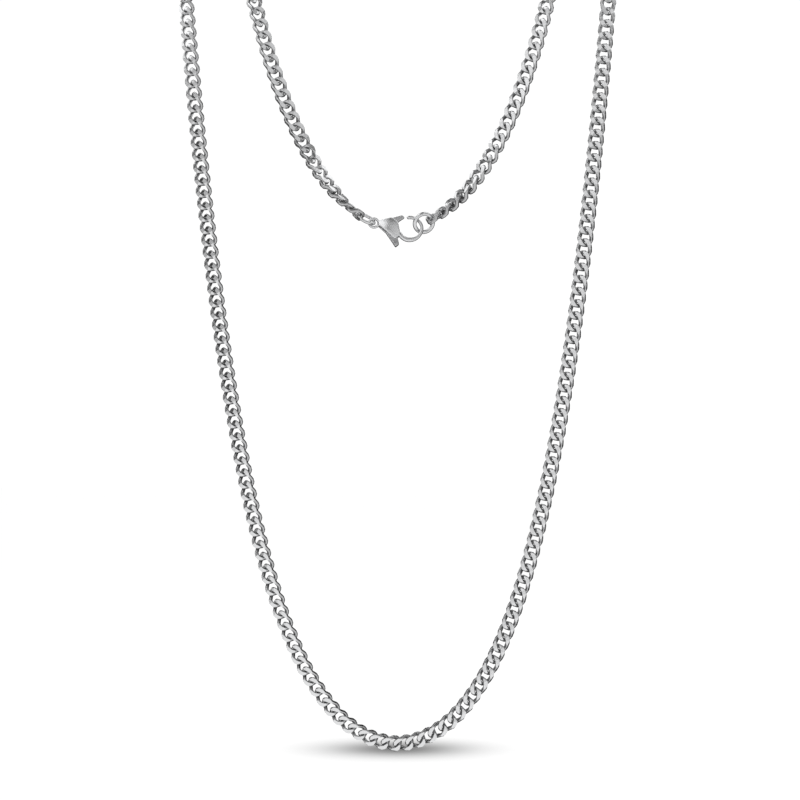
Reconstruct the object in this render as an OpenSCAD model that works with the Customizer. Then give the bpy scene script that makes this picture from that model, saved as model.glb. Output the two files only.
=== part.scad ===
/* [Chain] */
// Width of the chain across a link, in mm
chain_w = 3.1; // [2.7:0.1:3.6]
// Thickness of the wire that a link is bent from
wire_d = 0.76; // [0.6:0.02:0.84]
// Distance from one link to the next
pitch = 2.46; // [2.3:0.02:2.8]
// Thickness of the chain over its ground faces
chain_t = 1.7; // [1.5:0.05:1.9]
// Free play between two hooked links
link_play = 0.14; // [0.1:0.01:0.2]
// How far a link's knees stand out of its plane, at the wire's middle
link_lift = 0.6; // [0.54:0.01:0.66]

/* [Hang] */
// Drop of the front loop below the two rests it hangs on
front_drop = 170.9; // [120:1:260]
// Radius of the front loop at its lowest point
front_curve = 13.22; // [9:0.5:18]
// Drop of the clasp's eye below the rests
back_drop = 66.8; // [45:1:90]
// Tightness of the sag of the two back strands
back_curve = 14.62; // [13.5:0.2:16]
// Steepness of the left back strand where it meets the end ring
left_slope = 0.71; // [0.66:0.01:0.76]
// Steepness of the right back strand where it meets the jump ring
right_slope = 0.51; // [0.44:0.01:0.62]

/* [Clasp] */
// Hole in the clasp's eye
eye_hole_d = 1.3; // [1.26:0.02:1.4]
// Thickness of the round wall around the eye's hole
eye_wall = 0.56; // [0.46:0.02:0.6]
// Length of the clasp's body from neck to nose
body_l = 4.48; // [4.3:0.02:4.7]
// Height of the clasp's body
body_h = 4.56; // [4.3:0.02:4.8]
// Thickness of the body at its crown
body_t = 2.2; // [1.9:0.1:2.6]
// Thickness of the body at its rim
rim_t = 1.3; // [1.1:0.1:1.6]
// Radius of the hook, to the middle of its wire
hook_r = 2.35; // [2.2:0.05:2.5]
// Thickness of the hook
hook_d = 0.7; // [0.5:0.05:0.8]
// Thickness of the lever
lever_t = 0.7; // [0.5:0.05:0.8]
// Space on each side of the lever in its slot
lever_gap = 0.08; // [0.05:0.01:0.12]
// Diameter of the lever's pin
pin_d = 0.6; // [0.4:0.05:0.8]
// Space around the pin in the lever's bore
pin_gap = 0.05; // [0.03:0.01:0.08]
// Space around the pin in the body's bores
pin_fit = 0.02; // [0.01:0.01:0.04]
// Turn of the clasp about its length, away from facing forward
clasp_turn = 20; // [16:1:24]

/* [Jump ring] */
// How far the ring's middle hangs past the hook's wire
ring_past = 0.4; // [0.3:0.02:0.5]
// Radius of the jump ring, to the middle of its wire
ring_r = 1.9; // [1.8:0.05:2.1]
// Thickness of the jump ring's wire
ring_d = 0.82; // [0.6:0.02:0.86]
// Forward lean of the jump ring's top
ring_lean = 20; // [18:1:24]
// Turn of the jump ring's face to its right
ring_turn = 15; // [12:1:18]

/* [End ring] */
// Radius of the small ring between the clasp's eye and the chain, to the middle of its wire
end_ring_r = 1.84; // [1.8:0.02:1.96]
// Thickness of the end ring's wire
end_ring_d = 0.66; // [0.6:0.02:0.68]
// Steepness of the line along which the end ring is pulled
end_ring_slope = 0.53; // [0.48:0.01:0.58]
// Turn of the end ring's face away from straight across the line of sight
end_ring_tilt = 19; // [16:1:22]

/* [Hidden] */

// Small helpers
function unit(v) = v / norm(v);
function arc_sinh(x) = ln(x + sqrt(x * x + 1));
function running_length(points) =
    [for (i = 0, s = 0; i < len(points); s = s + (i + 1 < len(points) ? norm(points[i + 1] - points[i]) : 0),
        i = i + 1) s];
function last(list) = list[len(list) - 1];

// One link: an oval of round wire, twisted so that it lies flat, with its high spots ground off.
// Its middle line is (l cos a, w sin a, -lift twist), where the twist is sin 2a with a flattened top.
wire_r = wire_d / 2;
link_sides = 10;
wire_sides = 5;
end_reach = (wire_d + link_play) / 2;
link_half_l = (pitch / 2 + end_reach) / cos(180 / link_sides);
link_half_w = chain_w / 2 - wire_r;
function twist(a) = sin(2 * a) * (3 - pow(sin(2 * a), 2)) / 2;
function link_mid(a) = [link_half_l * cos(a), link_half_w * sin(a), -link_lift * twist(a)];
function link_way(a) =
    unit([-link_half_l * sin(a), link_half_w * cos(a), -3 * link_lift * pow(cos(2 * a), 3)]);
function ground(p) = [p[0], p[1], max(-chain_t / 2, min(chain_t / 2, p[2]))];
function wire_ring(a) =
    let (way = link_way(a), side = unit(cross(way, [0, 0, 1])), up = cross(side, way))
    [for (k = [0:wire_sides - 1]) let (b = 360 * k / wire_sides)
        ground(link_mid(a) + wire_r * (cos(b) * side + sin(b) * up))];
link_points = [for (i = [0:link_sides - 1]) each wire_ring(360 * (i + 0.5) / link_sides)];
link_faces = [for (i = [0:link_sides - 1], k = [0:wire_sides - 1])
    let (j = (i + 1) % link_sides, m = (k + 1) % wire_sides)
    each [[i * wire_sides + k, i * wire_sides + m, j * wire_sides + m],
          [i * wire_sides + k, j * wire_sides + m, j * wire_sides + k]]];

// Layout of the clasp in its own plane: x from the eye to the hook, y up.
// Outline points are shares of the body's length and height.
neck_x = eye_hole_d / 2 + eye_wall / 3;
body_low = -0.785 * body_h;
function body_point(share) = [neck_x + share[0] * body_l, body_low + share[1] * body_h];
hook_inset = 0.44;
hook_at = body_point([1, 0.53]) + [hook_r - hook_inset, 0];

// Where the closure sits: the centres of the eye, the jump ring and the end ring
eye_at = [-5.2, 0, -back_drop];
ring_at = eye_at + [hook_at[0] + hook_r + ring_past, 0, 0];
ring_seat = ring_r - ring_d / 2 - wire_r - link_play / 2;
end_way = unit([-1, 0, end_ring_slope]);
eye_seat = 0.04;
end_ring_at = eye_at + end_way * (end_ring_r - eye_seat);
end_ring_seat = end_ring_r - end_ring_d / 2 - wire_r - link_play + eye_seat;

// Route of half the chain in the hanging plane, from the closure up its back strand,
// over a rest and down to the lowest point of the front loop. Both strands sag as chains do.
front_mid = -0.56;
side_samples = 60;
arch_samples = 24;
front_len = sqrt(front_drop * (front_drop + 2 * front_curve));
function first_joint(side) = side < 0
    ? end_ring_at + end_way * (end_ring_seat + end_reach)
    : ring_at + unit([1, 0, right_slope]) * (ring_seat + end_reach);
function back_slope(side) = side < 0 ? left_slope : right_slope;
function back_top(side) = let (s = back_curve * back_slope(side))
    sqrt(pow(-first_joint(side)[2] + sqrt(back_curve * back_curve + s * s), 2) - back_curve * back_curve);
function back_at(side, s) = let (s0 = back_curve * back_slope(side), start = first_joint(side))
    [start[0] + side * back_curve * (arc_sinh(s / back_curve) - arc_sinh(s0 / back_curve)), 0,
     start[2] + sqrt(back_curve * back_curve + s * s) - sqrt(back_curve * back_curve + s0 * s0)];
function front_at(side, s) = [front_mid + side * front_curve * arc_sinh(s / front_curve), 0,
    -front_drop + sqrt(front_curve * front_curve + s * s) - front_curve];
function arch_at(side, u) =
    let (a = back_at(side, back_top(side)), d = front_at(side, front_len), h = norm(d - a) * 2 / 3,
         b = a + h * unit([side * back_curve, 0, back_top(side)]),
         c = d + h * unit([side * front_curve, 0, front_len]), v = 1 - u)
    v * v * v * a + 3 * v * v * u * b + 3 * v * u * u * c + u * u * u * d;
function route(side) = concat(
    [for (i = [0:side_samples - 1]) let (s0 = back_curve * back_slope(side))
        back_at(side, s0 + (back_top(side) - s0) * i / side_samples)],
    [for (i = [0:arch_samples - 1]) arch_at(side, i / arch_samples)],
    [for (i = [side_samples:-1:0]) front_at(side, front_len * i / side_samples)]);

// How the chain is rolled about its own line along that route: share of the half, degrees.
// At 0 it faces forward, and at 90 its flat face lies on the rest.
left_roll = [[0, 105], [0.0135, 78], [0.0225, 62], [0.045, 42], [0.075, 22], [0.12, 16], [0.19, 36],
             [0.27, 88], [0.33, 88], [0.42, 28], [0.8, 28], [1, 24]];
right_roll = [[0, 90], [0.025, 64], [0.05, 44], [0.08, 22], [0.12, 16], [0.19, 34], [0.27, 88],
              [0.32, 88], [0.43, -9], [0.84, -9], [0.93, 4], [1, 24]];
left = running_route(-1);
right = running_route(1);
function running_route(side) = let (p = route(side), s = running_length(p))
    [side, last(s), [for (i = [0:len(p) - 1]) [s[i], p[i][0]]], [for (i = [0:len(p) - 1]) [s[i], p[i][2]]]];
function half_len(half) = half[1];
function along(half, s) = [lookup(s, half[2]), 0, lookup(s, half[3])];
function roll(half, s) = lookup(s / half_len(half), half[0] < 0 ? left_roll : right_roll);
// Axes of the chain over a stretch: its way, its width, its face
function axes(half, s0, s1) =
    let (way = unit(along(half, s1) - along(half, s0)), out = half[0] * [-way[2], 0, way[0]],
         r = roll(half, (s0 + s1) / 2), face = cos(r) * [0, -1, 0] + sin(r) * out)
    [way, cross(face, way), face];
function link_count(half) = ceil(half_len(half) / pitch);
function step(half) = half_len(half) / link_count(half);
// Links hang next to the closure and all along the front, and the stretch between is one plain run
end_links = 8;
front_links = 66;
echo(necklace_length = half_len(left) + half_len(right) + norm(first_joint(1) - first_joint(-1)),
     links = link_count(left) + link_count(right));

module link(half, i) {
    s0 = i * step(half);
    s1 = s0 + step(half);
    m = (along(half, s0) + along(half, s1)) / 2;
    a = axes(half, s0, s1);
    multmatrix([for (r = [0:2]) [a[0][r], a[1][r], a[2][r], m[r]]]) polyhedron(link_points, link_faces);
}
module links(half) {
    n = link_count(half);
    for (i = [0:end_links - 1]) link(half, i);
    for (i = [n - front_links:n - 1]) link(half, i);
}
module chain_left() { color("silver") links(left); }
module chain_right() { color("silver") links(right); }

// The plain run: an oval tube of the chain's width and thickness along the same route
tube_sides = 8;
tube_steps = 24;
function tube_ring(half, s, ds) = let (a = axes(half, s - ds, s + ds))
    [for (k = [0:tube_sides - 1]) let (b = 360 * (k + 0.5) / tube_sides)
        along(half, s) + chain_w / 2 * cos(b) * a[1] + chain_t / 2 * sin(b) * a[2]];
module plain_run(half) {
    clear = end_reach + wire_r + link_play;
    from = end_links * step(half) + clear;
    to = (link_count(half) - front_links) * step(half) - clear;
    ds = (to - from) / tube_steps;
    points = [for (i = [0:tube_steps]) each tube_ring(half, from + ds * i, ds / 4)];
    sides = [for (i = [0:tube_steps - 1], k = [0:tube_sides - 1])
        let (m = (k + 1) % tube_sides, p = i * tube_sides, q = p + tube_sides)
        each [[p + k, q + k, q + m], [p + k, q + m, p + m]]];
    end = tube_steps * tube_sides;
    caps = [for (k = [1:tube_sides - 2]) each [[0, k, k + 1], [end, end + k + 1, end + k]]];
    polyhedron(points, concat(sides, caps));
}
module turn_left() { color("silver") plain_run(left); }
module turn_right() { color("silver") plain_run(right); }

// The clasp's pieces, drawn in that plane, with z toward the front
body_outline = [[0, 0.86], [0.6, 1], [0.84, 0.84], [0.9, 0.74], [0.96, 0.43], [1, 0.19], [0.75, 0],
                [0.08, 0.57], [0, 0.62]];
body_corner = 0.3;
// Rounds each corner of an outline with a short curve
function rounded(points, r) = let (n = len(points)) [for (i = [0:n - 1])
    let (p = points[i], a = points[(i + n - 1) % n], b = points[(i + 1) % n],
         ra = min(r, norm(a - p) / 2.2), rb = min(r, norm(b - p) / 2.2),
         from = p + unit(a - p) * ra, to = p + unit(b - p) * rb)
    for (k = [0:4]) let (u = k / 4) (1 - u) * (1 - u) * from + 2 * u * (1 - u) * p + u * u * to];
crown = body_point([0.57, 0.56]);
dome_rise = (body_t - rim_t) / 2;
dome_span = 0.54 * body_l;
dome_r = (dome_span * dome_span + dome_rise * dome_rise) / (2 * dome_rise);
hook_tip = 107;
hook_root = -157;
slot_t = lever_t + 2 * lever_gap;
pivot = body_point([0.57, 0.65]);

module in_clasp() {
    translate(eye_at) rotate([90 - clasp_turn, 0, 0]) children();
}
module eye() {
    rotate_extrude($fn = 64) translate([(eye_hole_d + eye_wall) / 2, 0]) circle(d = eye_wall, $fn = 24);
}
module hook() {
    translate([hook_at[0], hook_at[1], 0]) rotate([0, 0, hook_root])
        rotate_extrude(angle = hook_tip - hook_root, $fn = 96)
            translate([hook_r, 0]) circle(d = hook_d, $fn = 24);
}
module cheeks() {
    edge = rounded([for (p = body_outline) body_point(p)], body_corner);
    intersection() {
        linear_extrude(height = body_t, center = true) polygon(edge);
        translate([crown[0], crown[1], body_t / 2 - dome_r]) sphere(r = dome_r, $fn = 128);
        translate([crown[0], crown[1], dome_r - body_t / 2]) sphere(r = dome_r, $fn = 128);
    }
}
// Space between the cheeks: open above, in front and below, closed toward the eye and the hook's root
slot_outline = [[0.15, -0.2], [0.15, 0.6], [0.35, 1.1], [1.2, 1.1], [1.2, 0.5], [0.86, 0.5], [0.88, 0.3],
                [0.94, -0.2]];
module slot() {
    linear_extrude(height = slot_t, center = true) polygon([for (p = slot_outline) body_point(p)]);
}
module pin_hole(gap, h) {
    translate([pivot[0], pivot[1], 0]) cylinder(d = pin_d + 2 * gap, h = h, center = true, $fn = 32);
}
pin_share = 0.6;
pin_l = slot_t + (body_t - slot_t) * pin_share;
module clasp_body() {
    color("gainsboro") in_clasp() {
        eye();
        difference() {
            union() {
                cheeks();
                hook();
            }
            slot();
            pin_hole(pin_fit, pin_l + 2 * pin_fit);
        }
    }
}
module clasp_pin() {
    color("gray") in_clasp() pin_hole(0, pin_l);
}
lever_outline = [[0.65, 1.02], [1.09, 1.14], [1.19, 1.03], [0.91, 0.84], [0.79, 0.52], [0.82, 0.26],
                 [0.9, -0.05], [0.94, -0.21], [0.77, -0.36], [0.3, 0.36], [0.38, 0.7]];
lever_corner = 0.25;
module clasp_lever() {
    color("lightgray") in_clasp() difference() {
        linear_extrude(height = lever_t, center = true)
            polygon(rounded([for (p = lever_outline) body_point(p)], lever_corner));
        pin_hole(pin_gap, lever_t * 2);
    }
}

module jump_ring() {
    color("silver") translate(ring_at) rotate([90 + ring_lean, 0, 0]) rotate([0, ring_turn, 0])
        rotate_extrude($fn = 96) translate([ring_r, 0]) circle(d = ring_d, $fn = 32);
}
module end_ring() {
    color("silver") translate(end_ring_at) rotate([0, atan(end_ring_slope), 0]) rotate([end_ring_tilt, 0, 0])
        rotate_extrude($fn = 96) translate([end_ring_r, 0]) circle(d = end_ring_d, $fn = 32);
}

chain_left();
chain_right();
turn_left();
turn_right();
clasp_body();
clasp_lever();
clasp_pin();
jump_ring();
end_ring();
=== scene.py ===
# %% [markdown]
# # A curb chain necklace
# This lesson dresses a necklace that hangs as a double loop: a curb chain of flat twisted links,
# closed by a lobster claw clasp that hangs between two round rings, all in steel.
# Lengths are worked out in millimetres and brought to metres when a mesh is made.

# %% Load the measured frame
import bpy
import numpy as np
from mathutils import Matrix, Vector


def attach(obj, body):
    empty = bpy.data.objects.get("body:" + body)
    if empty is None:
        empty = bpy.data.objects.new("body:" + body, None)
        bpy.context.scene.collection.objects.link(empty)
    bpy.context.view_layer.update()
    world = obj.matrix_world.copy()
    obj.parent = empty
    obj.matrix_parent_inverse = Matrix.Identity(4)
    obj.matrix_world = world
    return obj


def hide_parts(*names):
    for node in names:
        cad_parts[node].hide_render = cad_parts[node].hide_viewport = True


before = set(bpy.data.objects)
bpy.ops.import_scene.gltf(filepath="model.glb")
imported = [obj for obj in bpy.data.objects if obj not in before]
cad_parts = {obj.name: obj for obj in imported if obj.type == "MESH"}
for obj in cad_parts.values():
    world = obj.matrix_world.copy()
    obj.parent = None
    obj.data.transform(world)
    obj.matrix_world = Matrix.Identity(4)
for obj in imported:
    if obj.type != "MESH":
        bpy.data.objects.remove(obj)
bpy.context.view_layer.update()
MM = 0.001

# %% [markdown]
# ## Meshes from grids
# Every piece here is a grid of points that closes round on itself, as a tube does. It could be
# modelled by hand with circles and bridges. Working the points out as whole arrays keeps the
# shape in one formula, and the same few lines then turn any such grid into a mesh.

# %% Grid helpers
def round_faces(rows, columns, closed):
    """Quads between the neighbours of a grid that is closed across its columns. When the rows
    close too it is a ring, and otherwise it is an open tube."""
    i, j = np.meshgrid(np.arange(rows if closed else rows - 1), np.arange(columns), indexing="ij")
    k, m = (i + 1) % rows, (j + 1) % columns
    corners = [i * columns + j, i * columns + m, k * columns + m, k * columns + j]
    return np.stack(corners, -1).reshape(-1, 4)


def capped(grid):
    """A tube whose first and last rows are single points: points, then quads and end triangles."""
    rows, columns = grid.shape[:2]
    points = np.concatenate([grid[1:-1].reshape(-1, 3), grid[0, :1], grid[-1, :1]])
    quads = round_faces(rows - 2, columns, False)
    j = np.arange(columns)
    m = (j + 1) % columns
    start = (rows - 2) * columns
    tail = start - columns
    first = np.stack([j, np.full(columns, start), m], -1)
    final = np.stack([tail + j, tail + m, np.full(columns, start + 1)], -1)
    return points, [quads, first, final]


# %% From arrays to a piece
def outward(points, groups):
    """Faces turned so that the enclosed volume, the sum of the signed corner products, is positive."""
    volume = 0.0
    for faces in groups:
        for n in range(2, faces.shape[1]):
            a, b, c = points[faces[:, 0]], points[faces[:, n - 1]], points[faces[:, n]]
            volume += np.einsum("ij,ij->", a, np.cross(b, c))
    return groups if volume > 0 else [faces[:, ::-1] for faces in groups]


def mesh_of(name, points, groups, smooth=None):
    """A mesh from an array of points and a list of face arrays, set with foreach_set."""
    mesh = bpy.data.meshes.new(name)
    loops = np.concatenate([f.reshape(-1) for f in groups]).astype(np.int32)
    sizes = np.concatenate([np.full(len(f), f.shape[1]) for f in groups]).astype(np.int32)
    starts = np.concatenate([[0], np.cumsum(sizes)[:-1]]).astype(np.int32)
    mesh.vertices.add(len(points))
    mesh.vertices.foreach_set("co", points.astype(np.float32).reshape(-1))
    mesh.loops.add(len(loops))
    mesh.loops.foreach_set("vertex_index", loops)
    mesh.polygons.add(len(sizes))
    mesh.polygons.foreach_set("loop_start", starts)
    mesh.polygons.foreach_set("use_smooth", np.ones(len(sizes), bool) if smooth is None else smooth)
    mesh.update(calc_edges=True)
    mesh.validate()
    return mesh


def show(name, mesh, finish, body, node):
    """Puts a finished mesh in the scene, on its body, in the place of the node that it stands for."""
    piece = bpy.data.objects.new(name, mesh)
    bpy.context.scene.collection.objects.link(piece)
    mesh.materials.append(finish)
    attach(piece, body)
    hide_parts(node)
    print(f"{name}: {len(mesh.polygons)} faces")


# %% [markdown]
# ## Shader sums
# Roughness and colour change a little all over real metal. In the shader editor each such change
# is a chain of Math nodes. A small class that holds one socket lets the same chain be written as
# an ordinary sum.

# %% The socket class
class Lead:
    """Holds one output socket. Sums, differences and products on it add Math nodes."""

    def __init__(self, tree, socket):
        self.tree, self.socket = tree, socket

    def node(self, kind, settings, inputs, out=0):
        """Adds any node: its settings first, then the values or leads of its sockets."""
        made = self.tree.nodes.new(kind)
        for key, value in settings.items():
            setattr(made, key, value)
        for key, value in inputs.items():
            if isinstance(value, Lead):
                self.tree.links.new(value.socket, made.inputs[key])
            else:
                made.inputs[key].default_value = value
        return Lead(self.tree, made.outputs[out])

    def sum(self, operation, a, b):
        return self.node("ShaderNodeMath", {"operation": operation}, {0: a, 1: b})

    def __add__(self, other):
        return self.sum("ADD", self, other)

    def __radd__(self, other):
        return self.sum("ADD", other, self)

    def __sub__(self, other):
        return self.sum("SUBTRACT", self, other)

    def __rsub__(self, other):
        return self.sum("SUBTRACT", other, self)

    def __mul__(self, other):
        return self.sum("MULTIPLY", self, other)

    def __rmul__(self, other):
        return self.sum("MULTIPLY", other, self)


def new_shader(name):
    """A material with its Principled BSDF, and a lead on its Object coordinates."""
    made = bpy.data.materials.new(name)
    made.use_nodes = True
    tree = made.node_tree
    place = Lead(tree, tree.nodes.new("ShaderNodeTexCoord").outputs["Object"])
    return made, tree.nodes["Principled BSDF"], place


# %% [markdown]
# ## Steel
# The chain is polished steel whose high spots were ground flat, so its flats are smoother than the
# round wire between them, which keeps a rougher tumbled skin. That wire is also painted a darker grey
# than the flats: painted shade for the links' sides and insides, which face away from the light. The
# clasp is cast and satin, and the rings are smooth drawn wire. One recipe gives them all: metal with a
# patchy roughness, a fine grain in its bump and a slight drift of its grey. Wear painted by hand would
# need an unwrapped surface, while noise on the object's own coordinates suits every piece.

# %% The steel recipe
CLOUDS_PER_M, GRAINS_PER_M, GRAIN_DEPTH = 900.0, 5000.0, 0.00002
GREY_DRIFT = 0.4
BLACK, STEEL_WHITE = (0.0, 0.0, 0.0, 1.0), (0.985, 0.99, 1.0, 1.0)


def steel(name, grey, roughness, patch, grain, skin=None):
    """Grey and roughness drift by a soft noise, and a fine noise in the bump gives the grain.
    skin gives the darker grey, painted shade on the wire's sides and insides, and the rougher value of
    the wire's real skin, both away from the ground flats."""
    made, shader, place = new_shader(name)
    tree = place.tree
    soft = {"Vector": place, "Scale": CLOUDS_PER_M, "Detail": 3.0}
    tight = {"Vector": place, "Scale": GRAINS_PER_M, "Detail": 2.0}
    clouds = place.node("ShaderNodeTexNoise", {}, soft, "Fac")
    fine = place.node("ShaderNodeTexNoise", {}, tight, "Fac")
    drift = (clouds - 0.5) * patch
    if skin:
        painted_shade_grey, skin_roughness = skin
        flat = place.node("ShaderNodeAttribute", {"attribute_name": "ground"}, {}, "Fac")
        # painted shade: away from the ground flats the grey falls to the darker skin grey, for the
        # links' sides and insides
        level = painted_shade_grey + flat * (grey - painted_shade_grey) + drift * GREY_DRIFT
        rough = skin_roughness - flat * (skin_roughness - roughness) + drift
    else:
        level = grey + drift * GREY_DRIFT
        rough = roughness + drift
    shades = {"Factor": level, "A": BLACK, "B": STEEL_WHITE}
    tint = place.node("ShaderNodeMix", {"data_type": "RGBA"}, shades, "Result")
    relief = {"Strength": grain, "Distance": GRAIN_DEPTH, "Height": fine}
    bump = place.node("ShaderNodeBump", {}, relief, "Normal")
    for key, lead in (("Base Color", tint), ("Roughness", rough), ("Normal", bump)):
        tree.links.new(lead.socket, shader.inputs[key])
    shader.inputs["Metallic"].default_value = 1.0
    return made


# %% The four finishes
# the chain's wire between the flats is painted darker (0.55) as painted shade; its rougher 0.26 is the
# real tumbled skin
chain_steel = steel("ground_chain_steel", 0.84, 0.24, 0.12, 0.02, skin=(0.55, 0.26))
clasp_steel = steel("satin_cast_steel", 0.84, 0.34, 0.03, 0.004)
lever_steel = steel("satin_lever_steel", 0.68, 0.3, 0.03, 0.004)
ring_steel = steel("polished_ring_steel", 0.74, 0.1, 0.03, 0.01)
print("finishes:", [made.name for made in (chain_steel, clasp_steel, lever_steel, ring_steel)])

# %% [markdown]
# ## Where the closure hangs
# The claw lies in its own plane, which leans back a little and is drawn from the eye's centre: x
# toward the hook, y up. The pieces could be placed by eye. Here the closure's sizes are those of
# the measured part, in millimetres, so each piece lands on the solid that it dresses.

# %% The closure's sizes
EYE_HOLE, EYE_WALL = 1.3, 0.56
BODY_L, BODY_H, BODY_T, RIM_T = 4.48, 4.56, 2.2, 1.3
HOOK_R, HOOK_D, HOOK_INSET = 2.35, 0.7, 0.44
LEVER_T, LEVER_GAP = 0.7, 0.08
RING_R, RING_D, RING_PAST = 1.9, 0.82, 0.4
END_R, END_D, END_TILT, EYE_SEAT = 1.84, 0.66, 19, 0.04
CLAW_LEAN, RING_LEAN, RING_SWING = 20, 20, 15
END_SLOPE, RING_SLOPE = 0.53, 0.51
END_WAY = np.array([-1, 0, END_SLOPE]) / np.hypot(1, END_SLOPE)
RING_WAY = np.array([1, 0, RING_SLOPE]) / np.hypot(1, RING_SLOPE)
BACK_DROP, FRONT_DROP = 66.8, 170.9
EYE_AT = np.array([-5.2, 0.0, -BACK_DROP])
# the corner of the body's length and height, from the eye's centre
BODY_AT = np.array([EYE_HOLE / 2 + EYE_WALL / 3, -0.785 * BODY_H])


# %% The closure's places
def turned(degrees, axis):
    """The matrix that turns points about the x axis (axis 0) or the y axis (axis 1)."""
    c, s = np.cos(np.radians(degrees)), np.sin(np.radians(degrees))
    about_x = [[1, 0, 0], [0, c, -s], [0, s, c]]
    about_y = [[c, 0, s], [0, 1, 0], [-s, 0, c]]
    return np.array(about_x if axis == 0 else about_y)


def claw_point(share):
    """A point given as shares of the body's length and height, in the claw's plane."""
    return BODY_AT + np.asarray(share, float) * [BODY_L, BODY_H]


def in_claw(points):
    """Points of the claw's own plane, stood up, leaned back and moved to the eye."""
    return EYE_AT + points @ turned(90 - CLAW_LEAN, 0).T


HOOK_AT = claw_point([1, 0.53]) + [HOOK_R - HOOK_INSET, 0]
RING_AT = EYE_AT + [HOOK_AT[0] + HOOK_R + RING_PAST, 0, 0]
END_AT = EYE_AT + END_WAY * (END_R - EYE_SEAT)
print("rings at", np.round(RING_AT, 2), np.round(END_AT, 2))

# %% [markdown]
# ## The chain's route
# A hanging chain takes the curve of a catenary: its height is the root of a squared plus s
# squared, where s runs along the chain, and its sideways place is a times the inverse hyperbolic
# sine of s over a. Each half runs from the closure up its back strand, over a rest in one smooth
# arch, and down to the lowest point of the front loop. A curve drawn by hand would do for one
# picture, but the catenary gives every link its true place by length. The chain also rolls about
# its own line on the way, so that its face is seen edge-on near the clasp and flat further on.
# The links here are a little wider and of thicker wire than those of the measured part, which
# keep apart from each other, while real links touch.

# %% The chain's sizes
WIRE_D, CHAIN_W, CHAIN_T, PITCH, PLAY, LIFT = 0.88, 3.2, 1.74, 2.46, 0.02, 0.64
FRONT_CURVE, BACK_CURVE, FRONT_MID = 13.22, 14.62, -0.56
END_REACH = (WIRE_D + PLAY) / 2
END_SEAT = END_R - END_D / 2 - WIRE_D / 2 - EYE_SEAT
RING_SEAT = RING_R - RING_D / 2 - END_REACH
# slope: the rise of the half's first step; roll: share of the half's length, then degrees
HALVES = {
    "left": {"side": -1, "slope": 0.71, "start": END_AT + END_WAY * (END_SEAT + END_REACH),
             "roll": [[0, 105], [0.0135, 78], [0.0225, 62], [0.045, 42], [0.075, 22], [0.12, 16],
                      [0.19, 36], [0.27, 88], [0.33, 88], [0.42, 28], [0.8, 28], [1, 24]]},
    "right": {"side": 1, "slope": RING_SLOPE, "start": RING_AT + RING_WAY * (RING_SEAT + END_REACH),
              "roll": [[0, 90], [0.025, 64], [0.05, 44], [0.08, 22], [0.12, 16], [0.19, 34],
                       [0.27, 88], [0.32, 88], [0.43, -9], [0.84, -9], [0.93, 4], [1, 24]]},
}


# %% The route of one half
def hang(curve, run, side):
    """Catenary by length: sideways place and height above its lowest point."""
    return side * curve * np.arcsinh(run / curve), np.hypot(curve, run) - curve


STRAND_POINTS, ARCH_POINTS = 61, 25


def route(half):
    """The half's polyline: back catenary, cubic arch over the rest, front catenary."""
    side, start = half["side"], half["start"]
    run_0 = BACK_CURVE * half["slope"]
    top = np.sqrt((np.hypot(BACK_CURVE, run_0) - start[2]) ** 2 - BACK_CURVE**2)
    x, z = hang(BACK_CURVE, np.linspace(run_0, top, STRAND_POINTS), side)
    back = np.stack([start[0] + x - x[0], start[2] + z - z[0]], -1)
    run_1 = np.sqrt(FRONT_DROP * (FRONT_DROP + 2 * FRONT_CURVE))
    x, z = hang(FRONT_CURVE, np.linspace(run_1, 0, STRAND_POINTS), side)
    front = np.stack([FRONT_MID + x, z - FRONT_DROP], -1)
    a, d = back[-1], front[0]
    reach = np.linalg.norm(d - a) * 2 / 3
    rise_a, rise_d = np.array([side * BACK_CURVE, top]), np.array([side * FRONT_CURVE, run_1])
    b = a + reach * rise_a / np.linalg.norm(rise_a)
    c = d + reach * rise_d / np.linalg.norm(rise_d)
    u = np.linspace(0, 1, ARCH_POINTS)[:, None]
    arch = (1 - u) ** 3 * a + 3 * (1 - u) ** 2 * u * b + 3 * (1 - u) * u**2 * c + u**3 * d
    return np.concatenate([back[:-1], arch[:-1], front])


# %% A frame for every link
def link_frames(half):
    """Middle and axes (way, width, face) of each link. Links take equal steps along the route,
    and the face is turned from the front toward the loop's outside by the roll."""
    line = route(half)
    run = np.concatenate([[0], np.cumsum(np.linalg.norm(np.diff(line, axis=0), axis=1))])
    count = int(np.ceil(run[-1] / PITCH))
    joints = np.linspace(0, run[-1], count + 1)
    x, z = np.interp(joints, run, line[:, 0]), np.interp(joints, run, line[:, 1])
    at = np.stack([x, 0 * joints, z], -1)
    way = np.diff(at, axis=0)
    way /= np.linalg.norm(way, axis=1)[:, None]
    outside = half["side"] * np.stack([-way[:, 2], 0 * way[:, 0], way[:, 0]], -1)
    share, angle = np.transpose(half["roll"])
    roll = np.radians(np.interp((joints[1:] + joints[:-1]) / 2 / run[-1], share, angle))[:, None]
    face = np.cos(roll) * [0, -1, 0] + np.sin(roll) * outside
    return (at[1:] + at[:-1]) / 2, np.stack([way, np.cross(face, way), face], 1)


print("links in each half:", {name: len(link_frames(half)[0]) for name, half in HALVES.items()})

# %% [markdown]
# ## One curb link
# A curb link is an oval of round wire that is twisted until it lies flat, so that two of its four
# knees stand high in front and two behind. Then the whole chain is ground, and each knee gets a
# lens-shaped flat. The wire's middle line is (l cos a, w sin a, -lift times the twist), with the
# cosine and sine drawn a little toward a square oval. A torus with a twist modifier would come
# close, but here the rows of points are put exactly on the edges of the flats, so that a link of
# few faces still has crisp facets.

# %% The twist of a link
SQUARE, GROUND_REACH = 0.96, 0.97


def power(value, index):
    """A power of the size of a number that keeps its sign."""
    return np.sign(value) * np.abs(value) ** index


def twist(a):
    """The sine s of 2a, made steeper and flattened on top: s(15 - 10s^2 + 3s^4)/8."""
    s = np.sin(2 * a)
    return s * (15 - 10 * s**2 + 3 * s**4) / 8


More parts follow.
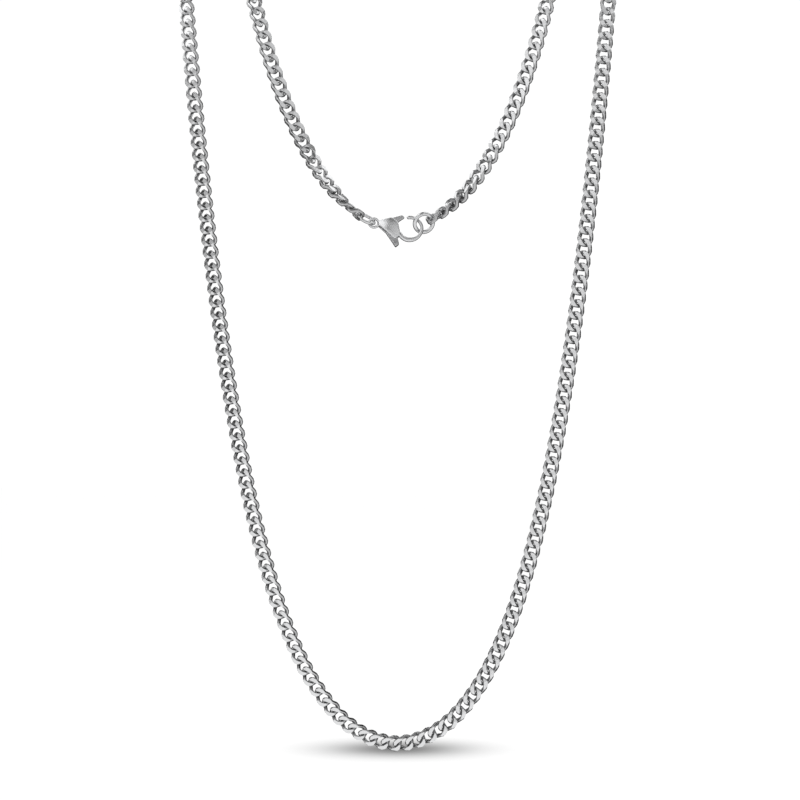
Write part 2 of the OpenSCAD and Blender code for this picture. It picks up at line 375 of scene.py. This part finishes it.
def link_stations(columns):
    """Angles round the link: each quadrant begins and ends where its flat does."""
    angles = np.linspace(0, np.pi / 2, 2000)
    high = angles[twist(angles) * LIFT > CHAIN_T / 2 - WIRE_D / 2 * GROUND_REACH]
    quarter = np.linspace(high[0], high[-1], columns)
    return np.concatenate([quarter + n * np.pi / 2 for n in range(4)])


stations = link_stations(5)
print("stations round a link:", len(stations))

# %% The link's middle line
HALF_L = (PITCH / 2 + END_REACH) / np.cos(stations[0]) ** SQUARE
HALF_W = (CHAIN_W - WIRE_D) / 2 / np.cos(stations[0]) ** SQUARE


def middle_line(a):
    """The powers of cosine and sine fill out the oval's shoulders, and the twist lifts its knees."""
    along, wide = HALF_L * power(np.cos(a), SQUARE), HALF_W * power(np.sin(a), SQUARE)
    return np.stack([along, wide, -LIFT * twist(a)], -1)


print(f"middle line: {2 * HALF_L:.2f} by {2 * HALF_W:.2f} mm")

# %% The link's surface
WIDEST = np.radians(72)
STEP = 0.01


def link_grid(a, columns):
    """Points of one link, station by station. Round each station the wire's points stand on a
    circle, two of them on each side where the ground plane cuts it."""
    radius, half_thick = WIRE_D / 2, CHAIN_T / 2
    middle = middle_line(a)
    way = middle_line(a + STEP) - middle_line(a - STEP)
    way /= np.linalg.norm(way, axis=1)[:, None]
    across = np.cross(way, [0, 0, 1.0])
    across /= np.linalg.norm(across, axis=1)[:, None]
    up = np.cross(across, way)
    steep = radius * up[:, 2]
    top = np.minimum(np.arcsin(np.clip((half_thick - middle[:, 2]) / steep, -1, 1)), WIDEST)
    low = np.minimum(np.arcsin(np.clip((half_thick + middle[:, 2]) / steep, -1, 1)), WIDEST)
    right = np.linspace(-low, top, columns // 2, axis=1)
    b = np.concatenate([right, np.pi - right[:, ::-1]], axis=1)[:, :, None]
    points = middle[:, None] + radius * (np.cos(b) * across[:, None] + np.sin(b) * up[:, None])
    points[..., 2] = np.clip(points[..., 2], -half_thick, half_thick)
    ground = np.zeros(b.shape[:2], bool)
    ground[:, columns // 2 - 1] = (top < WIDEST) | np.roll(top < WIDEST, -1)
    ground[:, -1] = (low < WIDEST) | np.roll(low < WIDEST, -1)
    return points, ground


link_points, link_ground = link_grid(stations, 6)
link_faces = round_faces(*link_ground.shape, True)
print("one link:", len(link_faces), "faces,", int(link_ground.sum()), "of them ground")

# %% [markdown]
# ## The chain
# The same link is set down 222 times, each in its own frame along the route, and every link goes
# through its neighbours. An array modifier on a curve could place them, but it would also bend
# them. Multiplying one link by a stack of frames keeps each one rigid, as steel is.

# %% Set the links along the route
def chain_piece(name, centres, axes, node):
    """All links of one node: link point times frame plus centre, for every link at once."""
    flat_link = link_points.reshape(-1, 3)
    points = (centres[:, None] + flat_link @ axes).reshape(-1, 3) * MM
    (faces,) = outward(flat_link, [link_faces])
    first = np.arange(len(centres)) * len(flat_link)
    every = (faces[None] + first[:, None, None]).reshape(-1, 4)
    ground = np.tile(link_ground.reshape(-1), len(centres))
    mesh = mesh_of(name, points, [every], ~ground)
    marks = mesh.attributes.new("ground", "FLOAT", "FACE")
    marks.data.foreach_set("value", ground.astype(np.float32))
    show(name, mesh, chain_steel, "necklace", node)


# The measured part has loose links at the closure and in the front loop, and plain runs between.
END_LINKS, FRONT_LINKS = 8, 66
for name, half in HALVES.items():
    centres, axes = link_frames(half)
    number = np.arange(len(centres))
    hidden = (number >= END_LINKS) & (number < len(centres) - FRONT_LINKS)
    chain_piece(f"{name}_links", centres[~hidden], axes[~hidden], f"chain_{name}")
    chain_piece(f"{name}_turn_links", centres[hidden], axes[hidden], f"turn_{name}")

# %% [markdown]
# ## Plates with rounded rims
# The claw's two cheeks and its lever are cast plates. Each has an outline with softened corners,
# a domed or flat face, and a rolled rim. Extrude and bevel would give them too. A profile that is
# carried round the outline, from the middle of one face over the rim to the middle of the other,
# makes the same form as one closed grid.

# %% An outline with soft corners
CORNER_SHARE = 2.2


def outline(shares, corner, count=96):
    """Corner points joined by short quadratic curves, then spaced evenly along the outline. A curve
    begins at the corner's length from its point, or at 1/2.2 of a shorter side."""
    p = claw_point(shares)
    a, b = np.roll(p, 1, 0) - p, np.roll(p, -1, 0) - p
    la, lb = np.linalg.norm(a, axis=1)[:, None], np.linalg.norm(b, axis=1)[:, None]
    begin = p + a / la * np.minimum(corner, la / CORNER_SHARE)
    end = p + b / lb * np.minimum(corner, lb / CORNER_SHARE)
    u = np.linspace(0, 1, 7)[:, None, None]
    curve = ((1 - u) ** 2 * begin + 2 * u * (1 - u) * p + u**2 * end).transpose(1, 0, 2).reshape(-1, 2)
    loop = np.concatenate([curve, curve[:1]])
    run = np.concatenate([[0], np.cumsum(np.linalg.norm(np.diff(loop, axis=0), axis=1))])
    s = np.linspace(0, run[-1], count, endpoint=False)
    return np.stack([np.interp(s, run, loop[:, 0]), np.interp(s, run, loop[:, 1])], -1)


# %% A plate inside an outline
def plate(edge, centre, height, rim, floor=None):
    """Closed grid from the centre of the upper face out over a quarter-round rim to the lower
    face. height gives the upper face's z at any point. Without a floor the lower face mirrors it."""
    along = np.roll(edge, -1, 0) - np.roll(edge, 1, 0)
    normal = np.stack([along[:, 1], -along[:, 0]], -1) / np.linalg.norm(along, axis=1)[:, None]
    normal *= np.sign(np.sum(normal * (edge - centre)))
    inner = edge - rim * normal
    rows = [np.concatenate([p, height(p)[:, None]], 1)
            for p in (centre + q * (inner - centre) for q in np.linspace(0, 1, 9))]
    for t in np.radians([15, 30, 45, 60, 75, 90]):
        p = inner + rim * np.sin(t) * normal
        rows.append(np.concatenate([p, (height(inner) - rim * (1 - np.cos(t)))[:, None]], 1))
    upper = np.stack(rows)
    if floor is None:
        return np.concatenate([upper, upper[::-1] * [1, 1, -1]])
    lower = np.stack([np.concatenate([p, np.full((len(p), 1), floor)], 1)
                      for p in (centre + q * (edge - centre) for q in (1, 0.5, 0))])
    return np.concatenate([upper, lower])


# %% [markdown]
# ## The lobster claw
# The body is one casting: an eye, two domed cheeks with the lever's slot between them, and a hook
# that starts thick at its root and thins toward its tip. Booleans would join its parts with hard
# edges. Here they are made one by one and then fused in a fine voxel grid, with a little
# smoothing, because a casting has no sharp joins.

# %% The claw's tables
BODY_OUTLINE = [[0, 0.86], [0.6, 1], [0.84, 0.84], [0.9, 0.74], [0.96, 0.43], [1, 0.19], [0.75, 0],
                [0.08, 0.57], [0, 0.62]]
NECK_OUTLINE = [[0, 0.84], [0.16, 0.87], [0.16, 0.54], [0.08, 0.6], [0, 0.64]]
CROWN = claw_point([0.57, 0.56])
# angle round the hook, half its width, half its thickness, shift away from the hook's middle
HOOK_TABLE = np.array([[-160, 0.44, 0.44, 0.0], [-130, 0.47, 0.46, 0.1], [-105, 0.47, 0.46, 0.14],
                       [-75, 0.42, 0.42, 0.1], [-40, 0.35, 0.37, 0.02], [0, 0.33, 0.35, 0.0],
                       [70, 0.33, 0.35, 0.0], [107, 0.35, 0.35, 0.0]])


# %% The claw's shells
def dome(p):
    """Height of a large ball over the crown: crown height less the ball's fall-off."""
    rise, span = (BODY_T - RIM_T) / 2, 0.54 * BODY_L
    ball = (span**2 + rise**2) / (2 * rise)
    return BODY_T / 2 - ball + np.sqrt(ball**2 - np.sum((p - CROWN) ** 2, axis=1))


def ring_shell(radius, wire, columns, rows=96):
    """A round ring: a circle of the wire's radius carried round a larger circle. Points, then faces."""
    a = np.linspace(0, 2 * np.pi, rows, endpoint=False)[:, None]
    b = np.linspace(0, 2 * np.pi, columns, endpoint=False)[None]
    reach = radius + wire * np.cos(b)
    grid = np.stack([reach * np.cos(a), reach * np.sin(a), wire * np.sin(b) + 0 * a], -1)
    return grid.reshape(-1, 3), [round_faces(rows, columns, True)]


HOOK_SQUARE, CAP_ROWS = 0.8, 6


def hook_grid(rows=90, columns=24):
    """A squarish oval carried round the hook's arc. Its ends close in a half round, where the
    section shrinks by the root of 1 minus t squared while it moves on by t."""
    lo, hi = HOOK_TABLE[0, 0], HOOK_TABLE[-1, 0]
    t = np.sin(np.linspace(-np.pi / 2, np.pi / 2, 2 * CAP_ROWS + 1))
    root, tip = t[:CAP_ROWS], t[CAP_ROWS + 1:]
    cap = np.degrees(HOOK_D / 2 / HOOK_R)
    arc = np.linspace(lo + cap, hi - cap, rows)
    angle = np.concatenate([lo + cap * (1 + root), arc, hi + cap * (tip - 1)])
    scale = np.concatenate([np.sqrt(1 - root**2), np.ones(rows), np.sqrt(1 - tip**2)])[:, None]
    stops = HOOK_TABLE[:, 0]
    wide, thick, shift = (np.interp(angle, stops, HOOK_TABLE[:, n])[:, None] for n in (1, 2, 3))
    b = np.linspace(0, 2 * np.pi, columns, endpoint=False)[None]
    reach = HOOK_R + shift + scale * wide * power(np.cos(b), HOOK_SQUARE)
    a = np.radians(angle)[:, None]
    z = scale * thick * power(np.sin(b), HOOK_SQUARE)
    return np.stack([HOOK_AT[0] + reach * np.cos(a), HOOK_AT[1] + reach * np.sin(a), z], -1)


# %% Fuse the shells
def fused(name, shells, voxel, rounds):
    """Closed shells made one skin: a voxel remesh, then a few rounds of smoothing. It is worked in
    millimetres, because the voxel grid has a smallest size."""
    points, faces, base = [], [], 0
    for shell_points, shell_faces in shells:
        points.append(shell_points)
        faces += [f + base for f in outward(shell_points, shell_faces)]
        base += len(shell_points)
    raw = bpy.data.objects.new(name, mesh_of(name + "_raw", np.concatenate(points), faces))
    bpy.context.scene.collection.objects.link(raw)
    remesh = raw.modifiers.new("fuse", "REMESH")
    remesh.mode, remesh.voxel_size, remesh.use_smooth_shade = "VOXEL", voxel, True
    soften = raw.modifiers.new("soften", "SMOOTH")
    soften.factor, soften.iterations = 0.5, rounds
    worked = raw.evaluated_get(bpy.context.evaluated_depsgraph_get())
    skin = bpy.data.meshes.new_from_object(worked)
    bpy.data.objects.remove(raw)
    place = np.zeros(len(skin.vertices) * 3)
    skin.vertices.foreach_get("co", place)
    skin.vertices.foreach_set("co", (in_claw(place.reshape(-1, 3)) * MM).reshape(-1))
    skin.update()
    skin.name = name
    return skin


# %% The claw's body
VOXEL, SMOOTH_ROUNDS = 0.05, 14
NECK_HALF = 0.55


def neck_height(p):
    """The neck's flat face, at the same height all over."""
    return np.full(len(p), NECK_HALF)


slot_half = LEVER_T / 2 + LEVER_GAP
cheek = plate(outline(BODY_OUTLINE, 0.3), CROWN, dome, 0.25, slot_half)
neck = plate(outline(NECK_OUTLINE, 0.1), claw_point([0.09, 0.72]), neck_height, 0.15)
eye = ring_shell((EYE_HOLE + EYE_WALL) / 2, EYE_WALL / 2, 20)
shells = [capped(cheek), capped(cheek * [1, 1, -1]), capped(neck), capped(hook_grid()), eye]
claw = fused("claw_body", shells, VOXEL, SMOOTH_ROUNDS)
show("claw_body", claw, clasp_steel, "necklace", "clasp_body")

# %% [markdown]
# ## The lever
# The lever is a flat plate with a gate above and a thumb trigger below. The trigger swells a
# little at its end for the thumb nail. It could be cut from the same voxel grid as the claw, but
# then it couldn't turn: it is a mesh of its own and rides on the body that turns. The pin that it
# turns on is hidden, so the measured one stays and only gets the lever's steel.

# %% The claw's lever
LEVER_OUTLINE = [[0.65, 1.02], [1.09, 1.14], [1.19, 1.03], [0.91, 0.84], [0.79, 0.52], [0.82, 0.26],
                 [0.9, -0.05], [0.94, -0.21], [0.77, -0.36], [0.3, 0.36], [0.38, 0.7]]


SWELL, SWELL_LENGTH = 0.14, 1.2


def lever_height(p):
    """Half the lever's thickness, which grows by a smooth step toward the trigger's end."""
    below = np.clip((claw_point([0, -0.02])[1] - p[:, 1]) / SWELL_LENGTH, 0, 1)
    return LEVER_T / 2 + SWELL * below**2 * (3 - 2 * below)


lever_plate = plate(outline(LEVER_OUTLINE, 0.25, 160), claw_point([0.62, 0.68]), lever_height, 0.16)
lever_points, lever_faces = capped(lever_plate)
placed = in_claw(lever_points)
lever = mesh_of("claw_lever", placed * MM, outward(placed, lever_faces))
show("claw_lever", lever, lever_steel, "lever", "clasp_lever")

# %% The hidden pin
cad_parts["clasp_pin"].data.materials.clear()
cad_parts["clasp_pin"].data.materials.append(lever_steel)
print("pin faces:", len(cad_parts["clasp_pin"].data.polygons))

# %% [markdown]
# ## The two rings
# Each is a plain closed ring of round wire. Blender's own torus is just this surface, and so is
# the ring formula above, which makes both where they hang. The larger one leans in the hook. The
# smaller one joins the clasp's eye to the chain's first link, and is seen almost from its edge.

# %% The rings
def ring_piece(name, radius, wire, centre, turn, node):
    """A closed ring, turned about its centre and set there."""
    points, faces = ring_shell(radius, wire / 2, 24)
    points = points @ turn.T
    mesh = mesh_of(name, (centre + points) * MM, outward(points, faces))
    show(name, mesh, ring_steel, "necklace", node)


hook_turn = turned(90 + RING_LEAN, 0) @ turned(RING_SWING, 1)
ring_piece("hook_ring", RING_R, RING_D, RING_AT, hook_turn, "jump_ring")
pull = np.degrees(np.arctan2(END_WAY[2], -END_WAY[0]))
eye_turn = turned(pull, 1) @ turned(END_TILT, 0)
ring_piece("eye_ring", END_R, END_D, END_AT, eye_turn, "end_ring")

# %% [markdown]
# ## The floor
# The necklace hangs just over a white floor, which shows only a soft patch of painted shadow. A real
# shadow would need a lamp straight above, whose mirror image would whiten the metal. So the floor glows
# white by itself to the camera and hardly lights the metal, and the shadow is painted into that glow:
# one soft oval patch of it is darker. Its weight is 0.3679 to the power of the squared distance from
# its middle, which is 1 there and falls to nearly nothing two half-widths out.

# %% The floor
FLOOR_Z = -FRONT_DROP - CHAIN_W / 2 - 0.3
FLOOR_HALF, SHADE_AT, SHADE_HALF = 3000, (-0.4, 12.2), (14.6, 24.0)
FADE = 0.3679
# the second grey is the darkest glow of the floor's painted shadow
PAPER_WHITE, PAINTED_SHADOW_GREY, UNSEEN_GLOW = (1.0, 1.0, 1.0, 1), (0.16, 0.16, 0.16, 1), (0.05, 0.05, 0.05, 1)
floor_points = np.array([[x, y, FLOOR_Z] for x, y in ((-1, -1), (1, -1), (1, 1), (-1, 1))], float)
floor_points[:, :2] *= FLOOR_HALF
floor_mesh = mesh_of("floor", floor_points * MM, [np.array([[0, 1, 2, 3]])])
floor = bpy.data.objects.new("floor", floor_mesh)
bpy.context.scene.collection.objects.link(floor)
print("floor at", round(FLOOR_Z, 2), "mm")

# %% The floor's paper
paper, paper_shader, place = new_shader("white_paper")
side_place = place.node("ShaderNodeSeparateXYZ", {}, {"Vector": place}, "X")
across = (side_place - SHADE_AT[0] * MM) * (1 / SHADE_HALF[0] / MM)
deep_place = place.node("ShaderNodeSeparateXYZ", {}, {"Vector": place}, "Y")
depth = (deep_place - SHADE_AT[1] * MM) * (1 / SHADE_HALF[1] / MM)
# painted shadow: a soft darker oval painted into the floor's glow under the necklace, 1 at its middle
painted_shadow_weight = place.sum("POWER", FADE, across * across + depth * depth)
seen = place.node("ShaderNodeLightPath", {}, {}, "Is Camera Ray")
patch = {"Factor": painted_shadow_weight, "A": PAPER_WHITE, "B": PAINTED_SHADOW_GREY}
glow = place.node("ShaderNodeMix", {"data_type": "RGBA"}, patch, "Result")
to_camera = {"Factor": seen, "A": UNSEEN_GLOW, "B": glow}
glow = place.node("ShaderNodeMix", {"data_type": "RGBA"}, to_camera, "Result")
paper.node_tree.links.new(glow.socket, paper_shader.inputs["Emission Color"])
paper_shader.inputs["Base Color"].default_value = (0.12, 0.12, 0.12, 1)
paper_shader.inputs["Emission Strength"].default_value = 1.0
paper_shader.inputs["Roughness"].default_value = 0.9
paper_shader.inputs["Specular IOR Level"].default_value = 0.1
floor_mesh.materials.append(paper)
print("nodes in the paper:", len(paper.node_tree.nodes))

# %% [markdown]
# ## The lights
# Polished metal looks like what stands round it, so it could be lit by a picture of a studio.
# Large rectangular lamps do the same and can be moved one by one: two walls, a card in front, two
# boxes above and a card at the floor's level. Two small tent cards beside and above the clasp
# whiten the links that lean there, and a card behind lights the back, which the front hardly
# shows. The room between them is nearly black to the metal, which draws the dark lines on each
# link, and white to the camera.

# %% The lamps
def soft_light(name, place, aim, width, height, bright):
    """A rectangular lamp whose face looks as bright as bright times white. Its power is pi times
    its area times that brightness."""
    lamp = bpy.data.lights.new(name, "AREA")
    lamp.shape, lamp.size, lamp.size_y = "RECTANGLE", width, height
    lamp.energy = np.pi * width * height * bright
    holder = bpy.data.objects.new(name, lamp)
    bpy.context.scene.collection.objects.link(holder)
    holder.location = place
    holder.rotation_euler = (Vector(aim) - Vector(place)).to_track_quat("-Z", "Y").to_euler()
    holder.visible_camera = False


MIDDLE = (0, 0, -0.1)
soft_light("left_wall", (-0.7, -0.8, 0.05), MIDDLE, 0.75, 0.9, 0.86)
soft_light("right_wall", (0.7, -0.8, 0.05), MIDDLE, 0.75, 0.9, 0.66)
soft_light("front_card", (-0.1, -1.3, 0.0), MIDDLE, 1.1, 0.8, 0.75)
soft_light("top_left_box", (-0.42, -0.5, 0.62), MIDDLE, 0.5, 0.4, 1.4)
soft_light("top_right_box", (0.2, -0.7, 0.52), MIDDLE, 0.5, 0.5, 0.6)
soft_light("right_tent", (0.045, 0.015, 0.0), (-0.012, 0, -0.06), 0.08, 0.09, 1.15)
soft_light("left_tent", (-0.045, 0.015, 0.0), (0.012, 0, -0.06), 0.08, 0.09, 1.15)
soft_light("low_card", (0.0, -0.2505, -0.1726), (0, -0.2505, 0), 1.0, 0.5, 0.8)
soft_light("back_card", (0.0, 1.0, 0.0), MIDDLE, 1.6, 1.1, 0.85)
print("lamps:", len(bpy.data.lights))

# %% The room
ROOM_LEVEL, CAMERA_LEVEL = 0.02, 1.03
world = bpy.data.worlds.new("pale_room")
bpy.context.scene.world = world
world.use_nodes = True
sky = world.node_tree.nodes["Background"]
ray = Lead(world.node_tree, world.node_tree.nodes.new("ShaderNodeLightPath").outputs["Is Camera Ray"])
level = ROOM_LEVEL + ray * CAMERA_LEVEL
world.node_tree.links.new(level.socket, sky.inputs["Strength"])
sky.inputs["Color"].default_value = (1, 1, 1, 1)

# %% [markdown]
# ## The camera
# The picture is nearly free of perspective, so the camera stands a metre off with a long lens,
# level, as high as the picture's middle. One metre off, 160 mm of the necklace fills the frame.

# %% The camera
DISTANCE, FRAME_WIDTH, PICTURE_MIDDLE = 1.0, 0.16, -0.1022
lens = bpy.data.cameras.new("camera")
lens.sensor_width = 36
lens.lens = lens.sensor_width * DISTANCE / FRAME_WIDTH
camera = bpy.data.objects.new("camera", lens)
bpy.context.scene.collection.objects.link(camera)
camera.location = (0, -DISTANCE, PICTURE_MIDDLE)
camera.rotation_euler = (np.pi / 2, 0, 0)
bpy.context.scene.camera = camera
bpy.context.scene.view_settings.view_transform = "Standard"
print("lens", round(lens.lens), "mm")
